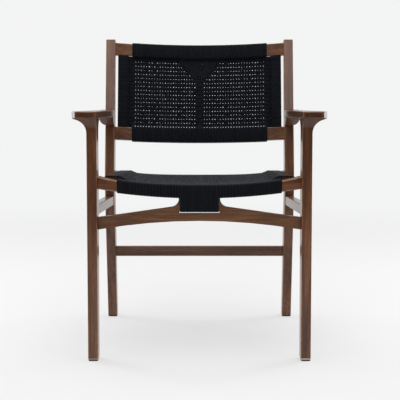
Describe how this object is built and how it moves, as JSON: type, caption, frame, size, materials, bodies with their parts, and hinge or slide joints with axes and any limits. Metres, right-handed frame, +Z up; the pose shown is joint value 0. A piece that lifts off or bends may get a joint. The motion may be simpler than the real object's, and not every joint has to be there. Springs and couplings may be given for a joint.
{
  "type": "wooden armchair",
  "caption": "Dark walnut armchair with flat arms, reclined bowed back, and a seat and back woven from black paper cord.",
  "frame": {"origin": "on the floor, at the middle of the chair's footprint box", "axes": "+Z up, the sitter faces -Y, +X is to the right as seen from in front of the chair"},
  "size_m": [0.6358, 0.5812, 0.8514],
  "materials": {
    "walnut": "dark walnut, satin oil finish",
    "walnut_stretcher": "dark walnut, satin oil finish",
    "beech_dowel": "raw beech",
    "nylon_glide": "dark nylon",
    "paper_cord": "twisted waxed paper cord, black"
  },
  "bodies": {
    "root": {"front_leg_left": "walnut", "front_leg_right": "walnut", "rear_post_left": "walnut", "rear_post_right": "walnut", "armrest_left": "walnut", "armrest_right": "walnut", "arm_block_left": "walnut", "arm_block_right": "walnut", "seat_front_rail": "walnut", "seat_rear_rail": "walnut", "seat_side_bar_left": "walnut", "seat_side_bar_right": "walnut", "back_top_rail": "walnut", "back_lower_rail": "walnut", "back_side_bar_left": "walnut", "back_side_bar_right": "walnut", "side_stretcher_left": "walnut_stretcher", "side_stretcher_right": "walnut_stretcher", "front_stretcher": "walnut_stretcher", "rear_stretcher": "walnut_stretcher", "arm_front_dowel_left": "beech_dowel", "arm_front_dowel_right": "beech_dowel", "arm_rear_dowel_left": "beech_dowel", "arm_rear_dowel_right": "beech_dowel", "front_glide_left": "nylon_glide", "front_glide_right": "nylon_glide", "rear_glide_left": "nylon_glide", "rear_glide_right": "nylon_glide", "seat_cord_field": "paper_cord", "seat_front_cord_wrap_centre": "paper_cord", "seat_front_cord_wrap_left": "paper_cord", "seat_front_cord_wrap_right": "paper_cord", "seat_rear_cord_wrap": "paper_cord", "seat_side_cord_wrap_left": "paper_cord", "seat_side_cord_wrap_right": "paper_cord", "back_cord_field": "paper_cord", "back_top_cord_wrap": "paper_cord", "back_lower_cord_wrap": "paper_cord", "back_side_cord_wrap_left": "paper_cord", "back_side_cord_wrap_right": "paper_cord"}
  },
  "joints": []
}
